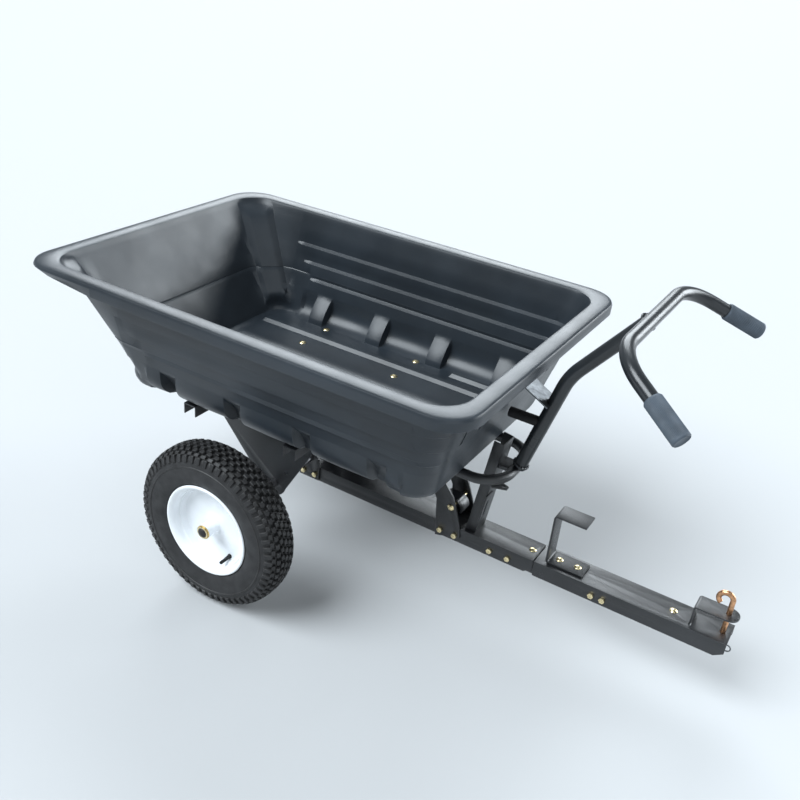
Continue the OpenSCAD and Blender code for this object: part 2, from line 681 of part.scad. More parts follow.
// ================= step =================
step_t = 5;
step_w = 52;
step_h = 135;
step_foot = [bar_joint + 24, bar_joint + 116];
step_flange = 78;
module step_bracket() {
    color(steel) placed() difference() {
        rotate([90, 0, 0]) linear_extrude(step_w, center = true) {
            translate([step_foot[0], bar_top]) square([step_foot[1] - step_foot[0], step_t]);
            translate([step_foot[0], bar_top]) square([step_t, step_h]);
            translate([step_foot[0], bar_top + step_h - step_t]) square([step_flange, step_t]);
        }
        top_holes();
    }
}
module step_bolts() {
    color(zinc) placed() for (x = step_bolt_x) translate([x, 0, bar_top + step_t]) {
        dome_head(9, 4.5);
        translate([0, 0, -step_t - 16]) cylinder(r = bolt_r, h = step_t + 16);
        translate([0, 0, -step_t - 2 * bar_t - 6]) cylinder(r = head_r, h = 6, $fn = 6);
    }
}

// ================= hitch =================
tongue_t = 4;
tongue_w = 48;
tongue_rise = pin_x - 69;
tongue_z = bar_top + hitch_gap;
tongue_foot = pin_x - 127;
module hitch_tongue() {
    color(steel) placed() difference() {
        union() {
            translate([tongue_foot, -tongue_w / 2, bar_top - bar_t - tongue_t])
                cube([tongue_rise + tongue_t - tongue_foot, tongue_w, tongue_t]);
            translate([tongue_rise, -tongue_w / 2, bar_top - bar_t - tongue_t])
                cube([tongue_t, tongue_w, tongue_z - bar_top + bar_t + 2 * tongue_t]);
            translate([tongue_rise, -tongue_w / 2, tongue_z]) cube([pin_x - tongue_rise, tongue_w, tongue_t]);
            translate([pin_x, 0, tongue_z]) cylinder(r = clevis_over, h = tongue_t);
        }
        translate([pin_x, 0, tongue_z - 1]) cylinder(r = pin_r + slack, h = tongue_t + 2);
        top_holes();
    }
}
module tongue_bolt() {
    color(zinc) placed() translate([tongue_bolt_x, 0, bar_top]) {
        dome_head(9, 4.5);
        translate([0, 0, -16]) cylinder(r = bolt_r, h = 16);
        translate([0, 0, -bar_t - tongue_t - 6]) cylinder(r = head_r, h = 6, $fn = 6);
    }
}
pin_collar_z = tongue_z + tongue_t;
curl_r = 15;
pin_neck = 34;                               // straight length between the collar and the curl
pin_tip = 14;                                // length below the clip
clip_z = bar_top - bar_t - 34;
module hitch_pin() {
    color([0.72, 0.45, 0.25]) placed() translate([pin_x, 0, 0]) difference() {
        union() {
            translate([0, 0, clip_z - pin_tip])
                cylinder(r = pin_r, h = pin_collar_z + pin_neck - clip_z + pin_tip);
            translate([0, 0, pin_collar_z]) cylinder(r = pin_r + 3, h = 2.5);
            translate([-curl_r, 0, pin_collar_z + pin_neck]) rotate([90, 0, 0])
                rotate_extrude(angle = 240) translate([curl_r, 0]) circle(pin_r);
        }
        translate([0, 0, clip_z]) rotate([0, 90, 0]) cylinder(r = clip_wire + slack, h = 30, center = true);
    }
}
// Spring clip through the pin's foot
clip_tail = 14;
module hairpin_clip() {
    color([0.7, 0.7, 0.72]) placed() translate([pin_x, 0, clip_z]) {
        translate([-clip_tail, 0, 0]) rotate([0, 90, 0]) cylinder(r = clip_wire, h = clip_tail + clip_reach);
        translate([clip_reach + clip_ring, 0, 0]) rotate([90, 0, 0])
            rotate_extrude() translate([clip_ring, 0]) circle(clip_wire);
    }
}

// ================= wheels =================
module at_wheel(side) {
    placed() translate([0, side * wheel_y, axle_z]) rotate([-90 * side, 0, 0]) children();
}
barrel_half = 38;
seat_r = flange_r - 14;                      // where the tyre's bead sits
rim_t = 2.5;
tyre_t = 7;
bead_half = barrel_half - 6;
bulge_r = flange_r + 30;                     // where the sidewall is widest
shoulder_r = tyre_r - 9;
crown_half = tyre_w / 2 - 22;                // half width of the nearly flat crown
// One side of the tyre's outline from bead to crown
function tyre_outside(s) = [[seat_r + 0.5, s * bead_half], [flange_r + 1.5, s * (bead_half + 2.5)],
    [flange_r + 6, s * (tyre_w / 2 - 6)], [bulge_r, s * tyre_w / 2], [shoulder_r - 12, s * (tyre_w / 2 - 3)],
    [shoulder_r, s * (tyre_w / 2 - 9)], [tyre_r, s * crown_half]];
function tyre_inside(s) = let (half = tyre_w / 2 - tyre_t, top = tyre_r - tyre_t - 4)
    [[seat_r, s * (bead_half - 10)], [flange_r + 8, s * (half - 6)], [bulge_r, s * half],
     [shoulder_r - 12, s * (half - 3)], [top - 4, s * (half - 14)], [top, 0]];
function backward(list) = [for (i = [len(list) - 1 : -1 : 0]) list[i]];
module tyre(side) {
    color([0.04, 0.04, 0.045]) at_wheel(side) rotate_extrude($fn = 96) difference() {
        polygon(concat(tyre_outside(-1), backward(tyre_outside(1))));
        polygon(concat([[seat_r - 1, 10 - bead_half]], tyre_inside(-1),
            [for (i = [1 : len(tyre_inside(1)) - 1]) backward(tyre_inside(1))[i]],
            [[seat_r - 1, bead_half - 10]]));
    }
}
module left_tyre() { tyre(1); }
module right_tyre() { tyre(-1); }
tube_t = 3;
tube_r = 36;
tube_mid = (seat_r + rim_t + tyre_r - tyre_t) / 2 - 2;
module inner_tube(side) {
    color([0.1, 0.1, 0.1]) at_wheel(side) rotate_extrude($fn = 96)
        translate([tube_mid, 0]) tube_wall(tube_r, tube_t);
}
module left_inner_tube() { inner_tube(1); }
module right_inner_tube() { inner_tube(-1); }
// Pressed wheel: a barrel with two flanges, and a disc that leans in to the hub tube
disc_t = 4;
bush_t = 3.5;
hub_seat_r = axle_r + bush_t;
valve_r = 85;
valve_turn = 60;                             // turn of the valve about the axle, below the level
valve_base_r = 4.5;
module at_valve(side) { rotate([0, 0, side * valve_turn]) translate([valve_r, 0, 0]) children(); }
module wheel(side) {
    barrel_in = seat_r - 2 * rim_t;
    lip = barrel_half - 4;
    color([0.93, 0.94, 0.95]) at_wheel(side) difference() {
        union() {
            rotate_extrude($fn = 96) {
                polygon([[seat_r - rim_t, -barrel_half], [seat_r, -lip], [seat_r, lip],
                         [seat_r - rim_t, barrel_half], [barrel_in, lip], [barrel_in, -lip]]);
                for (s = [-1, 1]) polygon([[seat_r - rim_t, s * barrel_half], [seat_r - 1.2 * rim_t, s * lip],
                    [seat_r, s * lip], [flange_r, s * (barrel_half - 1)],
                    [flange_r, s * (barrel_half + 2)], [seat_r, s * (barrel_half + 2)]]);
                polygon([[hub_r - 1, -disc_t], [seat_r - rim_t, disc_t], [seat_r - rim_t, 2 * disc_t],
                         [hub_r - 1, 0]]);
            }
            cylinder(r = hub_r, h = 2 * hub_half, center = true);
        }
        cylinder(r = hub_seat_r, h = 2 * hub_half + 2, center = true);
        at_valve(side) cylinder(r = valve_base_r, h = 60, center = true);
    }
}
module left_wheel() { wheel(1); }
module right_wheel() { wheel(-1); }
bush_len = 24;
module bushes(side) {
    color([0.72, 0.58, 0.3]) at_wheel(side) for (s = [0, 1]) rotate([180 * s, 0, 0]) difference() {
        union() {
            translate([0, 0, hub_half - bush_len]) cylinder(r = hub_seat_r, h = bush_len);
            translate([0, 0, hub_half]) cylinder(r = hub_r, h = bush_flange);
        }
        cylinder(r = axle_r + run_gap, h = hub_half + bush_flange + 1);
    }
}
module left_bushes() { bushes(1); }
module right_bushes() { bushes(-1); }
module valve(side) {
    color([0.05, 0.05, 0.05]) at_wheel(side) at_valve(side) {
        translate([0, 0, disc_t]) cylinder(r = valve_base_r, h = 24);
        translate([0, 0, disc_t + 24]) cylinder(r = valve_base_r - 1, h = 8);
    }
}
module left_valve() { valve(1); }
module right_valve() { valve(-1); }

tub();
tub_bolts();
tub_nuts();
front_strap();
rear_strap();
frame_rail();
left_axle_plate();
right_axle_plate();
support_leg();
leg_tie();
lock_tab();
slot_plate();
handle_column();
handlebar();
left_grip();
right_grip();
column_bracket();
bracket_bolts();
column_spacer();
drawbar_rear();
drawbar_front();
splice_channel();
splice_bolts();
axle_ears();
ear_bolts();
axle();
axle_collars();
axle_washers();
axle_end_bolts();
guide_plates();
guide_bolts();
latch_pin();
latch_lever();
step_bracket();
step_bolts();
hitch_tongue();
tongue_bolt();
hitch_pin();
hairpin_clip();
left_tyre();
right_tyre();
left_inner_tube();
right_inner_tube();
left_wheel();
right_wheel();
left_bushes();
right_bushes();
left_valve();
right_valve();
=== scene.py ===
import math

import bpy
from mathutils import Matrix, Vector


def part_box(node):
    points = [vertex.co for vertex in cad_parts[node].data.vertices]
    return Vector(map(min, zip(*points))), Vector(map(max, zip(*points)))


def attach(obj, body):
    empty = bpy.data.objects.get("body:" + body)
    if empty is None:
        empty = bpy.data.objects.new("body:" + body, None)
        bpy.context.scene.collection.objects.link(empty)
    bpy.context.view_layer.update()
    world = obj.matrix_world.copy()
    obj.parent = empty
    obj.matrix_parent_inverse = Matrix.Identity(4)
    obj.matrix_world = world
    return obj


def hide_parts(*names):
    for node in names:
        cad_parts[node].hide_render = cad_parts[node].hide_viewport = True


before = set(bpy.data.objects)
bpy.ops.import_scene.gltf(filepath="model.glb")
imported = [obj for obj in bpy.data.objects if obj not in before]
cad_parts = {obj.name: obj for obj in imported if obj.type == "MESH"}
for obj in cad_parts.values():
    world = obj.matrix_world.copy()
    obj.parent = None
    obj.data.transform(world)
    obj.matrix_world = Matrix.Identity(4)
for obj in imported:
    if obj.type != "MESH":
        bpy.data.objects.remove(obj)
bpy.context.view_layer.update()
bpy.ops.object.select_all(action="DESELECT")


# ---- Tub ----
# One rotational moulding in dark blue-grey polyethylene: a rolled rim, three ledges along each side, four
# stiffening bands where each side meets the floor, raised floor ribs, and fluted corners at the tail.
def finish(name, colour, rough, metal=0.0, coat=0.0, mottle=0.25, mottle_size=0.05, grain=0.1,
           grain_size=0.0012, worn=None, edge=0.0, sheen_spread=0.08, specular=0.5):
    """A painted, moulded or plated surface: cloudy colour, uneven gloss, fine grain, worn edges."""
    material = bpy.data.materials.new(name)
    material.use_nodes = True
    nodes, links = material.node_tree.nodes, material.node_tree.links
    shader = nodes["Principled BSDF"]
    shader.inputs["Metallic"].default_value = metal
    shader.inputs["Coat Weight"].default_value = coat
    shader.inputs["Coat Roughness"].default_value = 0.12
    shader.inputs["Specular IOR Level"].default_value = specular
    place = nodes.new("ShaderNodeTexCoord").outputs["Object"]

    def cloud(size, detail=3.0):
        noise = nodes.new("ShaderNodeTexNoise")
        noise.inputs["Scale"].default_value = 1.0 / size
        noise.inputs["Detail"].default_value = detail
        links.new(place, noise.inputs["Vector"])
        return noise.outputs["Fac"]

    def blend(factor, first, second):
        mix = nodes.new("ShaderNodeMix")
        mix.data_type = "RGBA"
        links.new(factor, mix.inputs["Factor"])
        for socket, value in ((mix.inputs["A"], first), (mix.inputs["B"], second)):
            if isinstance(value, tuple):
                socket.default_value = (*value, 1.0)
            else:
                links.new(value, socket)
        return mix.outputs["Result"]

    def spread(value, low, high, out_low, out_high):
        ramp = nodes.new("ShaderNodeMapRange")
        ramp.inputs["From Min"].default_value = low
        ramp.inputs["From Max"].default_value = high
        ramp.inputs["To Min"].default_value = out_low
        ramp.inputs["To Max"].default_value = out_high
        links.new(value, ramp.inputs["Value"])
        return ramp.outputs["Result"]

    darker = tuple(c * (1 - mottle) for c in colour)
    lighter = tuple(min(1.0, c * (1 + mottle)) for c in colour)
    skin = blend(spread(cloud(mottle_size), 0.35, 0.65, 0.0, 1.0), darker, lighter)
    if edge:
        rounded = nodes.new("ShaderNodeBevel")
        rounded.samples = 4
        rounded.inputs["Radius"].default_value = edge
        flat = nodes.new("ShaderNodeNewGeometry")
        across = nodes.new("ShaderNodeVectorMath")
        across.operation = "DOT_PRODUCT"
        links.new(rounded.outputs["Normal"], across.inputs[0])
        links.new(flat.outputs["Normal"], across.inputs[1])
        corner = spread(across.outputs["Value"], 0.995, 0.86, 0.0, 0.7)
        patchy = nodes.new("ShaderNodeMath")
        patchy.operation = "MULTIPLY"
        links.new(corner, patchy.inputs[0])
        links.new(spread(cloud(0.012), 0.4, 0.6, 0.25, 1.0), patchy.inputs[1])
        skin = blend(patchy.outputs["Value"], skin, worn)
    links.new(skin, shader.inputs["Base Color"])
    links.new(spread(cloud(mottle_size * 0.6, 5.0), 0.3, 0.7, rough - sheen_spread, rough + sheen_spread),
              shader.inputs["Roughness"])
    bump = nodes.new("ShaderNodeBump")
    bump.inputs["Strength"].default_value = grain
    bump.inputs["Distance"].default_value = 0.0006
    links.new(cloud(grain_size, 2.0), bump.inputs["Height"])
    links.new(bump.outputs["Normal"], shader.inputs["Normal"])
    return material


def only(piece):
    """Leaves just this piece selected and active."""
    bpy.ops.object.select_all(action="DESELECT")
    piece.select_set(True)
    bpy.context.view_layer.objects.active = piece


def apply_modifier(piece, kind, **settings):
    """Adds one modifier and applies it at once."""
    modifier = piece.modifiers.new(kind.lower(), kind)
    for key, value in settings.items():
        setattr(modifier, key, value)
    only(piece)
    bpy.ops.object.modifier_apply(modifier=modifier.name)


def settle(piece, name, body, slot_name, material, *nodes, smooth=35):
    """Names a finished piece, puts its place in its mesh, and hands it to the frame."""
    only(piece)
    bpy.ops.object.transform_apply(location=True, rotation=True, scale=True)
    bpy.ops.object.shade_smooth_by_angle(angle=math.radians(smooth))
    piece.name = piece.data.name = name
    piece.data.materials.clear()
    piece.data.materials.append(material)
    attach(piece, body)
    if nodes:
        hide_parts(*nodes)
    return piece


(tail, _, under), (nose, left, top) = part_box("tub")
wall = 0.005
rim = 0.045
lip = 0.028
rim_round = 0.008
rim_flat = 0.0024
tail_lean = 0.200
nose_lean = 0.115
side_lean = 0.115
floor_corner = 0.055
floor_edge = 0.012
axle_r = 0.010
floor_z = under + wall
rim_z = top - rim_round
x_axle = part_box("axle")[0][0] + axle_r


def tub_ring(z):
    """The inner wall's straight outline at a height: tail, nose and half width."""
    up = max(0.0, (z - floor_z - floor_edge) / (rim_z - floor_z - floor_edge))
    return (tail + (tail_lean + wall) * (1 - up) + rim * up, nose - (nose_lean + wall) * (1 - up) - rim * up,
            left - (side_lean + wall) * (1 - up) - rim * up)


def rise(ring_from, z_from, ring_to, z_to):
    """Draws the selected loop out to a new outline at a new height."""
    middle_from, middle_to = (ring_from[0] + ring_from[1]) / 2, (ring_to[0] + ring_to[1]) / 2
    bpy.ops.mesh.extrude_edges_move()
    bpy.ops.transform.resize(
        value=((ring_to[1] - ring_to[0]) / (ring_from[1] - ring_from[0]), ring_to[2] / ring_from[2], 1),
        center_override=(middle_from, 0, z_from))
    bpy.ops.transform.translate(value=(middle_to - middle_from, 0, z_to - z_from))


def drawn_in(ring, inset):
    """The same outline, smaller all round."""
    return (ring[0] + inset, ring[1] - inset, ring[2] - inset)


# Ledge heights, each with where it starts and stops ahead of the axle
ledges = {0.512: (-0.289, 0.422), 0.555: (-0.319, 0.455), 0.600: (-0.354, 0.487)}
ledge_step = 0.0045
ledge_end = 0.018
ledge_under = 0.003
ledge_over = 0.002
cove_top = floor_z + 0.075
seam_z = 0.524
seam_half = 0.0015
seam_step = 0.0012
outline = [(drawn_in(tub_ring(floor_z), floor_edge), floor_z),
           (drawn_in(tub_ring(floor_z), floor_edge * 0.3), floor_z + floor_edge * 0.3)]
heights = [floor_z + h for h in (0.012, 0.017, 0.022, 0.028, 0.034, 0.042, 0.050, 0.060, 0.070, 0.075, 0.079)]
heights += [seam_z - seam_half, seam_z, seam_z + seam_half, 0.575, 0.620, 0.645, 0.660, 0.672]
for z in ledges:
    heights += [z - ledge_under, z + ledge_over]
heights.sort()
outline += [(tub_ring(z), z) for z in heights + [rim_z]]
outer = (tail, nose, left)
outline += [(drawn_in(outer, inset), z) for inset, z in
            ((rim - rim_flat, top - rim_flat), (rim - rim_round, top), (rim_round, top),
             (rim_flat, top - rim_flat), (0.0, rim_z), (0.0, top - lip))]

first, z_first = outline[0]
bpy.ops.mesh.primitive_plane_add(size=1, location=((first[0] + first[1]) / 2, 0, z_first))
tub = bpy.context.object
tub.scale = (first[1] - first[0], 2 * first[2], 1)
only(tub)
bpy.ops.object.transform_apply(location=True, rotation=True, scale=True)
bpy.ops.object.mode_set(mode="EDIT")
bpy.ops.mesh.select_mode(type="VERT")
bpy.ops.mesh.select_all(action="SELECT")
bpy.ops.mesh.bevel(affect="VERTICES", offset=floor_corner, segments=9)
bpy.ops.mesh.select_mode(type="EDGE")
bpy.ops.mesh.select_all(action="SELECT")
for (ring_from, z_from), (ring_to, z_to) in zip(outline, outline[1:]):
    rise(ring_from, z_from, ring_to, z_to)

# Cut lines across the shell, so the bands, ribs and ledge ends have edges to stand on
bands = [x_axle + x for x in (-0.224, -0.030, 0.164, 0.358)]
band_half = 0.023
band_foot = 0.004
long_rib, short_rib = (-0.352, 0.452), (0.226, 0.425)
ribs = [(side * y, 0.017, *long_rib) for side in (-1, 1) for y in (0.083, 0.207)]
ribs += [(side * 0.256, 0.010, *short_rib) for side in (-1, 1)]
panel_back, panel_front = -0.290, 0.410
cuts = [((x_axle + x, 0, 0), (1, 0, 0)) for x in (long_rib[0], long_rib[0] + 0.02, *short_rib, long_rib[1])]
cuts += [((x_axle + ends[0] + d, 0, 0), (1, 0, 0)) for ends in ledges.values() for d in (0, ledge_end)]
cuts += [((x + d, 0, 0), (1, 0, 0)) for x in bands
         for d in (-band_half - band_foot, -band_half, 0, band_half, band_half + band_foot)]
cuts += [((x_axle + x, 0, 0), (1, 0, 0))
         for x in (panel_back, panel_back + 0.004, -0.127, 0.067, 0.261, panel_front)]
cuts += [((0, y + d, 0), (0, 1, 0)) for y, half, _, _ in ribs for d in (-half, half)]
for point, across in cuts:
    bpy.ops.mesh.select_all(action="SELECT")
    bpy.ops.mesh.bisect(plane_co=point, plane_no=across)
bpy.ops.object.mode_set(mode="OBJECT")


def ease(value, low, high):
    """Goes smoothly from 0 at the low end to 1 at the high end."""
    t = min(1.0, max(0.0, (value - low) / (high - low)))
    return t * t * (3 - 2 * t)


def outward(co):
    """The wall's outward direction in plan: along y on a side, x on an end, between them on a corner."""
    ring = tub_ring(co.z)
    up = max(0.0, (co.z - floor_z) / (rim_z - floor_z))
    corner = floor_corner + 0.012 + 0.010 * up
    end = min(max(co.x, ring[0] + corner), ring[1] - corner)
    side = math.copysign(ring[2] - corner, co.y) if abs(co.y) > ring[2] - corner else co.y
    way = Vector((co.x - end, co.y - side, 0))
    return way.normalized() if way.length > 1e-5 else Vector((0, math.copysign(1, co.y), 0))


cove_r = 0.050
wall_slope = (rim - wall - side_lean) / (floor_z + floor_edge - rim_z)
band_in = 0.029
band_sag = 0.005
band_top = 0.070
flute_chord = 0.072
flute_step = 0.008


def cove(height):
    """How far the hollow panel between two bands stands outside the straight wall at a height."""
    drop = cove_r - math.sqrt(max(0.0, cove_r ** 2 - max(0.0, cove_r - height) ** 2))
    return wall_slope * (cove_top - floor_z) - drop - wall_slope * height


for vertex in tub.data.vertices:
    co = vertex.co
    if co.z > rim_z - 0.002:
        continue
    way = outward(co)
    x = co.x - x_axle
    height = co.z - floor_z
    along_side = (abs(way.y) > 0.99 and abs(co.y) > tub_ring(co.z)[2] - 0.016
                  and panel_back - 0.0005 < x < panel_front + 0.0005)
    push = 0.0
    for z, ends in ledges.items():
        shown = ease(x, ends[0], ends[0] + ledge_end) * way.y * way.y
        if abs(co.z - (z - ledge_under)) < 1e-4:
            push -= ledge_step * shown
        if abs(co.z - (z + ledge_over)) < 1e-4:
            push += ledge_step * shown
    if along_side and co.z < cove_top + 0.001:
        edge_in = max(0.0, floor_edge - (height if height > 0.0045 else 2.333 * height))
        push += cove(height) + edge_in
        if height < 0.0005:
            push = floor_edge - cove_r + wall_slope * (cove_top - floor_z)
        if any(abs(co.x - band) < band_half + 0.001 for band in bands):
            share = min(1.0, height / band_top)
            push = edge_in - band_in * (1 - share) - band_sag * math.sin(math.pi * share)
    if abs(co.z - seam_z) < 1e-4 and x < -0.30:
        push += seam_step
    if x < -0.28 and abs(way.x) > 0.02 and abs(way.y) > 0.02 and height > 0.008:
        off_middle = abs(math.atan2(abs(way.y), abs(way.x)) - math.pi / 4)
        flat = flute_chord * (1 - math.cos(math.pi / 4) / math.cos(off_middle))
        flat += flute_step if off_middle < 0.6 else 0
        push -= flat * ease(co.z, floor_z + 0.008, floor_z + 0.06) * ease(rim_z - co.z, 0, 0.03)
    vertex.co = co + way * push

only(tub)
bpy.ops.object.mode_set(mode="EDIT")
bpy.ops.mesh.select_mode(type="FACE")
for y, half, back, front in ribs:
    bpy.ops.mesh.select_all(action="DESELECT")
    bpy.ops.object.mode_set(mode="OBJECT")
    for face in tub.data.polygons:
        c = face.center
        face.select = (abs(c.z - floor_z) < 1e-4 and abs(c.y - y) < half
                       and x_axle + back < c.x < x_axle + front)
    bpy.ops.object.mode_set(mode="EDIT")
    bpy.ops.mesh.inset(thickness=0.006, depth=0.009)
bpy.ops.mesh.select_all(action="SELECT")
bpy.ops.mesh.normals_make_consistent(inside=False)
bpy.ops.object.mode_set(mode="OBJECT")
if max(tub.data.polygons, key=lambda face: face.area).normal.z < 0:
    tub.data.flip_normals()
apply_modifier(tub, "SOLIDIFY", thickness=wall, offset=-1)

# Three narrow upright slots sunk in the outside of the front wall
slot_z = 0.571
slot_lean = math.atan2(nose_lean - rim + wall, rim_z - floor_z)
slot_x = tub_ring(slot_z)[1] + wall / math.cos(slot_lean)
for slot_y in (0.194, -0.159, -0.241):
    bpy.ops.object.select_all(action="DESELECT")
    bpy.ops.mesh.primitive_cube_add(size=1, location=(slot_x, slot_y, slot_z), rotation=(0, slot_lean, 0),
                                    scale=(0.0056, 0.012, 0.060))
    cutter = bpy.context.object
    apply_modifier(tub, "BOOLEAN", object=cutter, operation="DIFFERENCE", solver="EXACT")
    bpy.data.objects.remove(cutter)
apply_modifier(tub, "BEVEL", width=0.0015, segments=2, limit_method="ANGLE", angle_limit=math.radians(28))
tub_plastic = finish("tub_polyethylene", (0.021, 0.027, 0.034), 0.34, mottle=0.18, mottle_size=0.16,
                     grain=0.22, grain_size=0.0016, sheen_spread=0.05, specular=0.42,
                     worn=(0.07, 0.08, 0.09), edge=0.002)
settle(tub, "tub_moulding", "tray", "tub_plastic", tub_plastic, "tub", smooth=32)


# ---- Cross straps, axle plates, leg and its tabs ----
# Folded and cut steel sheet in black textured powder coat. Each is the frame's own solid with its cut edges
# eased, as sheet metal has after blasting and coating.
powder_coat = finish("black_powder_coat", (0.010, 0.011, 0.013), 0.33, mottle=0.25, mottle_size=0.09,
                     grain=0.75, grain_size=0.0011, sheen_spread=0.06, specular=0.75,
                     worn=(0.11, 0.115, 0.12), edge=0.0014)


def eased(node, name, body, slot_name, material, ease_by=0.0007, steps=2, smooth=32):
    """A copy of a CAD solid with its sharp edges rounded over."""
    piece = bpy.data.objects.new(name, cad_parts[node].data.copy())
    bpy.context.scene.collection.objects.link(piece)
    only(piece)
    bpy.ops.object.mode_set(mode="EDIT")
    bpy.ops.mesh.select_all(action="SELECT")
    bpy.ops.mesh.customdata_custom_splitnormals_clear()
    bpy.ops.mesh.remove_doubles(threshold=0.00002)
    bpy.ops.mesh.dissolve_limited(angle_limit=math.radians(1))
    bpy.ops.object.mode_set(mode="OBJECT")
    apply_modifier(piece, "BEVEL", width=ease_by, segments=steps, limit_method="ANGLE",
                   angle_limit=math.radians(35))
    return settle(piece, name, body, slot_name, material, node, smooth=smooth)


for node in ("front_strap", "rear_strap", "left_axle_plate", "right_axle_plate", "support_leg", "leg_tie",
             "lock_tab", "slot_plate"):
    eased(node, node + "_steel", "tray", "powder_coat", powder_coat)


# ---- Frame rail, handle column and handlebar ----
# Round steel tube bent cold on a roller and coated: one loop under the tub's nose, the column up from it,
# and the push bar across its top with two arms that slope down to the grips.
def bent_line(points, bend):
    """A path of straight runs with a round bend at each corner."""
    points = [Vector(p) for p in points]
    line = [points[0]]
    for before, here, after in zip(points, points[1:], points[2:]):
        a, b = (before - here).normalized(), (after - here).normalized()
        half = a.angle(b) / 2
        back = bend / math.tan(half)
        centre = here + (a + b).normalized() * bend / math.sin(half)
        start, stop = here + a * back - centre, here + b * back - centre
        turn, axis = start.angle(stop), start.cross(stop)
        steps = max(8, int(math.degrees(turn) / 3))
        line += [centre + Matrix.Rotation(turn * i / steps, 3, axis) @ start for i in range(steps + 1)]
    return line + [points[-1]]


def tube_along(line, radius, sides=32):
    """A round bar or closed-ended tube that follows a line."""
    curve = bpy.data.curves.new("tube", "CURVE")
    curve.dimensions = "3D"
    curve.bevel_depth = radius
    curve.bevel_resolution = sides // 2 - 2
    curve.use_fill_caps = True
    run = curve.splines.new("POLY")
    run.points.add(len(line) - 1)
    for point, place in zip(run.points, line):
        point.co = (*place, 1)
    tube = bpy.data.objects.new("tube", curve)
    bpy.context.scene.collection.objects.link(tube)
    only(tube)
    bpy.ops.object.convert(target="MESH")
    tube = bpy.context.object
    bpy.ops.object.mode_set(mode="EDIT")
    bpy.ops.mesh.select_all(action="SELECT")
    bpy.ops.mesh.remove_doubles(threshold=0.00001)
    bpy.ops.mesh.normals_make_consistent(inside=False)
    bpy.ops.object.mode_set(mode="OBJECT")
    return tube


handle_paint = finish("handle_satin_black", (0.014, 0.017, 0.020), 0.30, coat=0.15, mottle=0.2,
                      mottle_size=0.12, grain=0.18, grain_size=0.0009, sheen_spread=0.05,
                      worn=(0.12, 0.13, 0.14), edge=0.001)
(rail_back, _, rail_low), (rail_front, rail_left, rail_high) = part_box("frame_rail")
rail_r = (rail_high - rail_low) / 2
rail_z = (rail_high + rail_low) / 2
rail_y = rail_left - rail_r
rail_nose = rail_front - rail_r
rail_bend = 0.070
rail = tube_along(bent_line([(rail_back, -rail_y, rail_z), (rail_nose, -rail_y, rail_z),
                             (rail_nose, rail_y, rail_z), (rail_back, rail_y, rail_z)], rail_bend), rail_r)
settle(rail, "frame_rail_tube", "tray", "powder_coat", powder_coat, "frame_rail")

column_r = 0.016
column_bend = 0.160
bar_r = 0.015
bar_bend = 0.110
bar_half = 0.212
arm_drop = math.radians(27)
arm_reach = 0.178
grip_half = 0.293
bar_x = x_axle + 0.770
bar_z = 0.829
column_knee = (x_axle + 0.625, 0, 0.645)
column_foot = (rail_nose + 0.006, 0, rail_z + 0.006)
column_head = (bar_x - 0.006, 0, bar_z - 0.008)
column = tube_along(bent_line([column_foot, column_knee, column_head], column_bend), column_r)
settle(column, "handle_column_tube", "tray", "handle_paint", handle_paint, "handle_column")


def on_arm(reach, y):
    """A point in the handlebar's sloping plane."""
    return (bar_x + reach * math.cos(arm_drop), y, bar_z - reach * math.sin(arm_drop))


bar = tube_along(bent_line([on_arm(arm_reach, grip_half), on_arm(0, bar_half), on_arm(0, -bar_half),
                            on_arm(arm_reach, -grip_half)], bar_bend), bar_r, sides=40)
settle(bar, "handlebar_tube", "tray", "handle_paint", handle_paint, "handlebar")

# Weld beads where the column is coped on to the rail and to the handlebar: a lumpy ring of fillet weld
weld_r = 0.017
weld_bead = 0.0032
weld_lump = 0.0008
for name, place, lean, up in (("column_foot_weld", column_foot, math.radians(18), 0.010),
                              ("column_head_weld", column_head, math.radians(40), -0.008)):
    bpy.ops.object.select_all(action="DESELECT")
    bpy.ops.mesh.primitive_torus_add(
        location=(place[0] + up * math.sin(lean), 0, place[2] + up * math.cos(lean)), rotation=(0, lean, 0),
        major_radius=weld_r, minor_radius=weld_bead, major_segments=60, minor_segments=10)
    bead = bpy.context.object
    for vertex in bead.data.vertices:
        turn = math.atan2(vertex.co.y, vertex.co.x)
        vertex.co.z += weld_lump * math.sin(17 * turn)
    settle(bead, name, "tray", "handle_paint", handle_paint)


